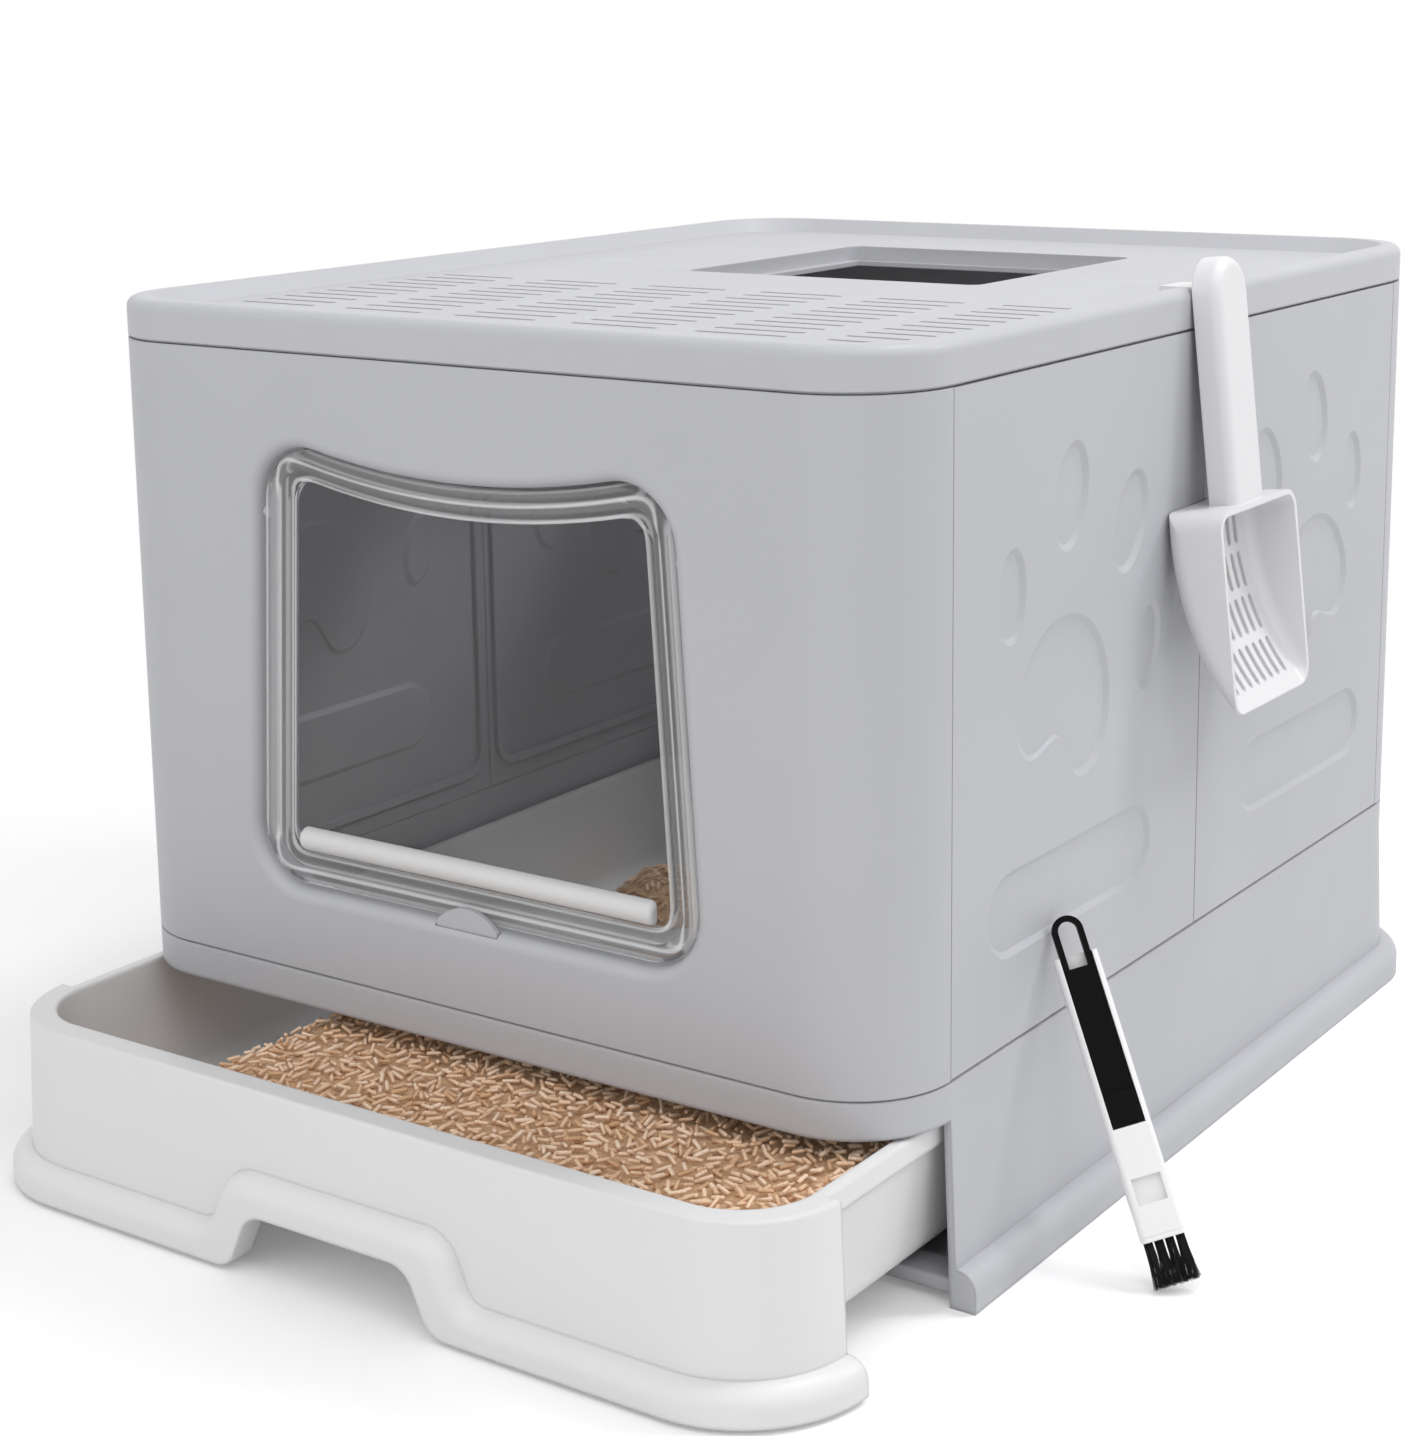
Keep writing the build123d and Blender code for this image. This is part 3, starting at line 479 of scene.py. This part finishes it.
def make_world(light):
    """White surroundings, seen at full strength and shining at the given strength."""
    world = bpy.data.worlds.new("studio")
    bpy.context.scene.world = world
    world.use_nodes = True
    tree = world.node_tree
    tree.nodes.clear()
    output = tree.nodes.new("ShaderNodeOutputWorld")
    shown = tree.nodes.new("ShaderNodeBackground")
    shown.inputs["Color"].default_value = (*WORLD_WHITE, 1.0)
    shown.inputs["Strength"].default_value = 1.0
    lit = tree.nodes.new("ShaderNodeBackground")
    lit.inputs["Color"].default_value = (*WORLD_TINT, 1.0)
    lit.inputs["Strength"].default_value = light
    backgrounds = (lit.outputs["Background"], shown.outputs["Background"])
    tree.links.new(mix_shaders(tree, background_rays(tree), *backgrounds), output.inputs["Surface"])


def make_softbox(name, place, target, size, watts):
    """Square area lamp aimed at a point."""
    lamp = bpy.data.lights.new(name, "AREA")
    lamp.shape = "SQUARE"
    lamp.size = size
    lamp.energy = watts
    holder = bpy.data.objects.new(name, lamp)
    bpy.context.scene.collection.objects.link(holder)
    holder.location = place
    holder.rotation_euler = (Vector(target) - Vector(place)).to_track_quat("-Z", "Y").to_euler()


def make_camera():
    """Camera at the photograph's viewing angle."""
    data = bpy.data.cameras.new("photo_camera")
    data.sensor_width = SENSOR
    data.lens = FOCAL_PX / IMAGE_HEIGHT_PX * SENSOR
    data.shift_y = (PRINCIPAL_ROW_PX - IMAGE_HEIGHT_PX / 2) / IMAGE_HEIGHT_PX
    data.clip_end = CAMERA_REACH
    camera = bpy.data.objects.new("photo_camera", data)
    bpy.context.scene.collection.objects.link(camera)
    forward = Vector((
        -math.sin(CAMERA_YAW) * math.cos(CAMERA_PITCH),
        math.cos(CAMERA_YAW) * math.cos(CAMERA_PITCH),
        -math.sin(CAMERA_PITCH),
    ))
    level = Vector((math.cos(CAMERA_YAW), math.sin(CAMERA_YAW), 0.0))
    upright = level.cross(forward)
    right = math.cos(CAMERA_ROLL) * level + math.sin(CAMERA_ROLL) * upright
    up = -math.sin(CAMERA_ROLL) * level + math.cos(CAMERA_ROLL) * upright
    turned = Matrix((right, up, -forward)).transposed().to_4x4()
    camera.matrix_world = Matrix.Translation(CAMERA_PLACE) @ turned
    bpy.context.scene.camera = camera


def link_piece(name, mesh, material):
    """New object for a mesh, with its finish."""
    mesh.materials.clear()
    mesh.materials.append(material)
    piece = bpy.data.objects.new(name, mesh)
    bpy.context.scene.collection.objects.link(piece)
    return piece


def link_mesh(name, vertices, faces, material, smooth=True):
    """New object from vertices and faces, in the shared frame."""
    mesh = bpy.data.meshes.new(name)
    mesh.from_pydata([tuple(vertex) for vertex in vertices], [], faces)
    mesh.validate()
    if smooth:
        mesh.shade_smooth()
    else:
        mesh.shade_flat()
    return link_piece(name, mesh, material)


def tube_faces(first, rings, sides, flip=False):
    """Faces of a closed tube whose rings of vertices follow each other."""
    faces = []
    for ring in range(rings - 1):
        for turn in range(sides):
            a = first + ring * sides + turn
            b = first + ring * sides + (turn + 1) % sides
            faces.append((b, a, a + sides, b + sides) if flip else (a, b, b + sides, a + sides))
    near = range(first, first + sides)
    far = range(first + (rings - 1) * sides, first + rings * sides)
    faces.append(tuple(near if flip else reversed(near)))
    faces.append(tuple(reversed(far) if flip else far))
    return faces


def dress(node, material):
    """Give a CAD node a finish."""
    mesh = NODES[node].data
    mesh.materials.clear()
    mesh.materials.append(material)


def top_of(node, xs, ys):
    """Height of a node's upper surface over a grid, and whether the grid point lies over the node."""
    tree = BVHTree.FromObject(NODES[node], bpy.context.evaluated_depsgraph_get())
    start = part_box(node)[1].z + FAR_ABOVE
    heights = np.zeros((len(xs), len(ys)))
    over = np.zeros((len(xs), len(ys)), bool)
    for i, x in enumerate(xs):
        for j, y in enumerate(ys):
            hit = tree.ray_cast(Vector((x, y, start)), Vector((0.0, 0.0, -1.0)))[0]
            if hit is not None:
                heights[i, j] = hit.z
                over[i, j] = True
    return heights, over


def resting_line(steps, under):
    """Height over the middle and slope of the line that rests on the highest points on both sides."""
    best = (-math.inf, 0.0)
    half = len(steps) // 2
    for a in range(half + 1):
        for b in range(half, len(steps)):
            if a == b:
                middle, slope = under[a], 0.0
            else:
                slope = (under[b] - under[a]) / (steps[b] - steps[a])
                middle = under[a] - slope * steps[a]
            if middle > best[0]:
                best = (middle, slope)
    return best


def settle_pellets(node, count):
    """Pellets dropped one by one onto a bed under the node's upper surface.

    Gives the centre, direction, length and radius of each pellet that finds room.
    """
    low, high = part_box(node)
    xs = np.arange(low.x, high.x, GRID_STEP)
    ys = np.arange(low.y, high.y, GRID_STEP)
    target, over = top_of(node, xs, ys)
    ground = np.maximum(target - BED_DROP, low.z)
    filled = np.where(over, ground, high.z + FAR_ABOVE)
    candidates = np.argwhere(over)
    pellets = []
    for _ in range(count):
        picks = candidates[RNG.integers(0, len(candidates), PELLET_TRIES)]
        lacks = [target[i, j] - filled[i, j] for i, j in picks]
        i, j = picks[int(np.argmax(lacks))]
        yaw = RNG.uniform(0.0, math.pi)
        length = RNG.uniform(*PELLET_LENGTHS)
        radius = RNG.uniform(*PELLET_RADII)
        if max(lacks) < 0.0:
            continue
        steps = np.linspace(-length / 2, length / 2, PELLET_SAMPLES)
        along_i = np.round(i + steps * math.cos(yaw) / GRID_STEP).astype(int)
        along_j = np.round(j + steps * math.sin(yaw) / GRID_STEP).astype(int)
        inside_x = (along_i >= EDGE_CELLS) & (along_i < len(xs) - EDGE_CELLS)
        inside_y = (along_j >= EDGE_CELLS) & (along_j < len(ys) - EDGE_CELLS)
        if not (inside_x & inside_y).all() or not over[along_i, along_j].all():
            continue
        under = np.array([filled[a - 1:a + 2, b - 1:b + 2].max() for a, b in zip(along_i, along_j)])
        if under.max() > high.z + FAR_ABOVE / 2:
            continue
        rest, slope = resting_line(steps, under)
        surface = target[along_i, along_j]
        fall = (surface[-1] - surface[0]) / length
        slope = max(fall - PELLET_TILT, min(fall + PELLET_TILT, slope))
        tops = rest + slope * steps + radius * PELLET_TOP_SHARE
        if (tops - surface).max() > PELLET_OVER:
            continue
        centre = Vector((xs[i], ys[j], rest + radius * PELLET_CENTRE_SHARE))
        flat = 1.0 / math.sqrt(1.0 + slope * slope)
        direction = Vector((math.cos(yaw) * flat, math.sin(yaw) * flat, slope * flat))
        pellets.append((centre, direction, length, radius))
        for a, b, top in zip(along_i, along_j, tops):
            patch = filled[a - 1:a + 2, b - 1:b + 2]
            patch[...] = np.where(over[a - 1:a + 2, b - 1:b + 2], np.maximum(patch, top), patch)
    return pellets


def pellet_mesh(name, pellets, material):
    """One mesh of many short rods with softened ends."""
    vertices = []
    faces = []
    for centre, direction, length, radius in pellets:
        side = direction.cross(Vector((0.0, 0.0, 1.0))).normalized()
        lift = side.cross(direction)
        bend = RNG.uniform(*PELLET_BEND_SHARES) * radius
        chop = RNG.uniform(*PELLET_CHOP_SHARES) * radius
        spin = RNG.uniform(0.0, math.pi)
        rings = (
            (-length / 2, PELLET_END_SHARE, 0.0), (-length / 2 + chop, 1.0, bend),
            (length / 2 - chop, 1.0, bend), (length / 2, PELLET_END_SHARE, 0.0),
        )
        faces.extend(tube_faces(len(vertices), len(rings), PELLET_SIDES))
        for place, share, offset in rings:
            for turn in range(PELLET_SIDES):
                angle = spin + 2 * math.pi * turn / PELLET_SIDES
                sideways = side * (math.cos(angle) * radius * share + offset)
                out = sideways + lift * (math.sin(angle) * radius * share)
                vertices.append(centre + direction * place + out)
    return link_mesh(name, vertices, faces, material)


def litter_bed(name, node, material):
    """Closed bed of crumbs under the pellets, inside the node's own form; its darker finish paints the
    shade of the gaps between them.
    """
    low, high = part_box(node)
    middle = (low + high) / 2
    sunk = 1.0 - BED_DROP / (high.z - low.z)
    mesh = bpy.data.meshes.new(name)
    cut = bmesh.new()
    cut.from_mesh(NODES[node].data)
    bmesh.ops.remove_doubles(cut, verts=cut.verts, dist=WELD_DISTANCE)
    for vertex in cut.verts:
        vertex.co.x = middle.x + (vertex.co.x - middle.x) * BED_SHRINK_SHARE
        vertex.co.y = middle.y + (vertex.co.y - middle.y) * BED_SHRINK_SHARE
        vertex.co.z = low.z + (vertex.co.z - low.z) * sunk
    cut.to_mesh(mesh)
    cut.free()
    return link_piece(name, mesh, material)


def make_litter(node, count, pellets_finish, bed_dust_and_shade_finish):
    """Loose pellets on their bed, in the tray."""
    pellets = pellet_mesh(f"{node}_pellets", settle_pellets(node, count), pellets_finish)
    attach(pellets, "drawer")
    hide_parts(node)
    bed = litter_bed(f"{node}_bed", node, bed_dust_and_shade_finish)
    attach(bed, "drawer")


def brush_axes():
    """The leaning brush's own axes: out of its channel, across it and up its handle."""
    pull = next(joint for joint in frame["joints"] if joint["name"] == "shovel_pull")
    out = Vector(pull["axis"]).normalized()
    faces = NODES["brush_handle"].data.polygons
    upright = [face for face in faces if abs(face.normal.dot(out)) < SQUARE]
    across = max(upright, key=lambda face: face.area).normal.copy()
    along = out.cross(across)
    return (out, across, along) if along.z > 0 else (out, -across, -along)


def extent(node, axis):
    """Least and greatest place of a node along an axis."""
    places = [vertex.co.dot(axis) for vertex in NODES[node].data.vertices]
    return min(places), max(places)


def brush_head():
    """Axes, middle and half sizes of the brush's head, and the handle's lower end along the handle."""
    out, across, along = brush_axes()
    out_range = extent("brush_handle", out)
    across_range = extent("brush_handle", across)
    centre = out * (sum(out_range) / 2) + across * (sum(across_range) / 2)
    half_out = (out_range[1] - out_range[0]) / 2
    half_across = (across_range[1] - across_range[0]) / 2
    level = extent("brush_handle", along)[0]
    return BrushHead(out, across, along, centre, half_out, half_across, level)


def strand_vertices(head, offset, length):
    """Rings of one strand from its root in the slice to its tip, with its own lean, splay and reach."""
    angle = RNG.uniform(0, 2 * math.pi)
    share = math.sqrt(RNG.uniform(0, 1))
    root = Vector((math.cos(angle), math.sin(angle))) * TUFT_RADIUS * share
    lean = Vector((RNG.normal(0, STRAND_LEAN_MM), RNG.normal(0, STRAND_LEAN_MM))) * MM
    splay = RNG.uniform(*STRAND_SPLAYS)
    reach = length * RNG.uniform(*STRAND_REACH_SHARES)
    vertices = []
    for ring in range(STRAND_RINGS):
        t = ring / (STRAND_RINGS - 1)
        drift = root * (1.0 + splay * t * t) + lean * t * t
        middle = head.centre + head.out * drift.x + head.across * (offset + drift.y)
        middle = middle + head.along * (head.level - BACKING_DEPTH / 2 - (reach + BACKING_DEPTH / 2) * t)
        radius = STRAND_RADIUS * (1.0 - STRAND_TAPER_SHARE * t)
        for turn in range(STRAND_SIDES):
            phi = math.pi / STRAND_SIDES + turn * 2 * math.pi / STRAND_SIDES
            corner = middle + (head.out * math.cos(phi) + head.across * math.sin(phi)) * radius
            corner.z = max(corner.z, FLOOR_CLEAR)
            vertices.append(corner)
    return vertices


def make_bristles(strand_finish, backing_finish):
    """Tufts of fine strands, rooted in the slice that closes the brush's head."""
    head = brush_head()
    foot = extent("brush_bristles", head.along)[0]
    length = head.level - BACKING_DEPTH - foot
    vertices = []
    faces = []
    for tuft in range(TUFTS):
        offset = TUFT_PITCH * (tuft - (TUFTS - 1) / 2)
        for _ in range(TUFT_STRANDS):
            faces.extend(tube_faces(len(vertices), STRAND_RINGS, STRAND_SIDES, flip=True))
            vertices.extend(strand_vertices(head, offset, length))
    strands = link_mesh("brush_strands", vertices, faces, strand_finish)
    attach(strands, "brush")
    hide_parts("brush_bristles")
    backing = head_slice(head, backing_finish)
    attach(backing, "brush")


def head_slice(head, finish):
    """White slice under the brush's handle that the tufts are set in."""
    cut = bmesh.new()
    bmesh.ops.create_cube(cut, size=1.0)
    for vertex in cut.verts:
        local = vertex.co.copy()
        vertex.co = (
            head.centre + head.out * (2 * head.half_out * local.x)
            + head.across * (2 * head.half_across * local.y)
            + head.along * (head.level - BACKING_DEPTH / 2 + BACKING_DEPTH * local.z)
        )
    upright = []
    for edge in cut.edges:
        run = (edge.verts[1].co - edge.verts[0].co).normalized()
        if abs(run.dot(head.along)) > ALIKE:
            upright.append(edge)
    bmesh.ops.bevel(cut, geom=upright, offset=BACKING_ROUND, segments=5, affect="EDGES", profile=0.5)
    low_level = head.level - BACKING_DEPTH * BACKING_FOOT_SHARE
    low_edges = []
    for edge in cut.edges:
        if max(vertex.co.dot(head.along) for vertex in edge.verts) < low_level:
            low_edges.append(edge)
    bmesh.ops.bevel(cut, geom=low_edges, offset=BACKING_EDGE, segments=2, affect="EDGES", profile=0.5)
    mesh = bpy.data.meshes.new("brush_head_slice")
    cut.to_mesh(mesh)
    cut.free()
    return link_piece("brush_head_slice", mesh, finish)


def make_floor():
    """Wide pale floor under the object."""
    corners = [(x * FLOOR_HALF, y * FLOOR_HALF, 0.0) for x, y in ((-1, -1), (1, -1), (1, 1), (-1, 1))]
    finish = floor_material("studio_floor", FLOOR_TONE)
    floor = link_mesh("floor", corners, [(0, 1, 2, 3)], finish, smooth=False)


def white_plastic(name, colour, roughness, rounding=WALL_ROUNDING):
    """Smoother and more even plastic of the white pieces."""
    return moulded_plastic(name, colour, roughness, grain=0.02, rounding=rounding, spread=0.012)


def dress_nodes():
    """Finishes of the rigid pieces; gives the brush's, which its head shares."""
    body = moulded_plastic("grey_body", BODY_GREY, roughness=0.46)
    pin = moulded_plastic("grey_pin", PIN_GREY, roughness=0.38, rounding=PIN_ROUNDING)
    brush = white_plastic("white_brush", BRUSH_WHITE, roughness=0.30, rounding=BRUSH_ROUNDING)
    for node in NODES:
        if node.startswith(("side_panel", "front_panel", "rear_panel", "door_lock")):
            dress(node, body)
        elif node.startswith("hinge_pin"):
            dress(node, pin)
    dress("base", moulded_plastic("grey_base", BODY_GREY, roughness=0.46, rounding=SOFT_ROUNDING))
    dress("lid", moulded_plastic("grey_lid", LID_GREY, roughness=0.44))
    drawer = white_plastic("white_drawer", DRAWER_WHITE, roughness=0.34, rounding=SOFT_ROUNDING)
    dress("drawer_tray", drawer)
    dress("scoop", white_plastic("white_scoop", SCOOP_WHITE, roughness=0.36, rounding=SCOOP_ROUNDING))
    dress("door_weight_bar", white_plastic("white_bar", BAR_WHITE, roughness=0.35))
    dress("brush_handle", brush)
    dress("dust_shovel", moulded_plastic(
        "black_shovel", BRUSH_BLACK, roughness=0.34, grain=0.02, rounding=SHOVEL_ROUNDING,
        spread=0.10, shine=0.06,
    ))
    dress("door_flap", clear_plastic("clear_flap", CLEAR_TINT))
    return brush


make_camera()
make_world(WORLD_LIGHT)
for softbox, values in SOFTBOXES.items():
    make_softbox(softbox, *values)
make_floor()
brush_finish = dress_nodes()
pellets_finish = pellet_material("tan_pellets", PELLET_TONES)
# The bed's darker finish is the crumbs' colour with painted shade of the gaps between the pellets
bed_dust_and_shade_finish = dust_and_shade_material("tan_dust_and_shade", BED_CRUMB_AND_SHADE_TONES)
make_litter("litter_heap", HEAP_PELLETS, pellets_finish, bed_dust_and_shade_finish)
make_litter("litter_pile", PILE_PELLETS, pellets_finish, bed_dust_and_shade_finish)
make_bristles(strand_material("black_strands", BRISTLE_BLACK), brush_finish)

bpy.context.scene.view_settings.view_transform = "Standard"
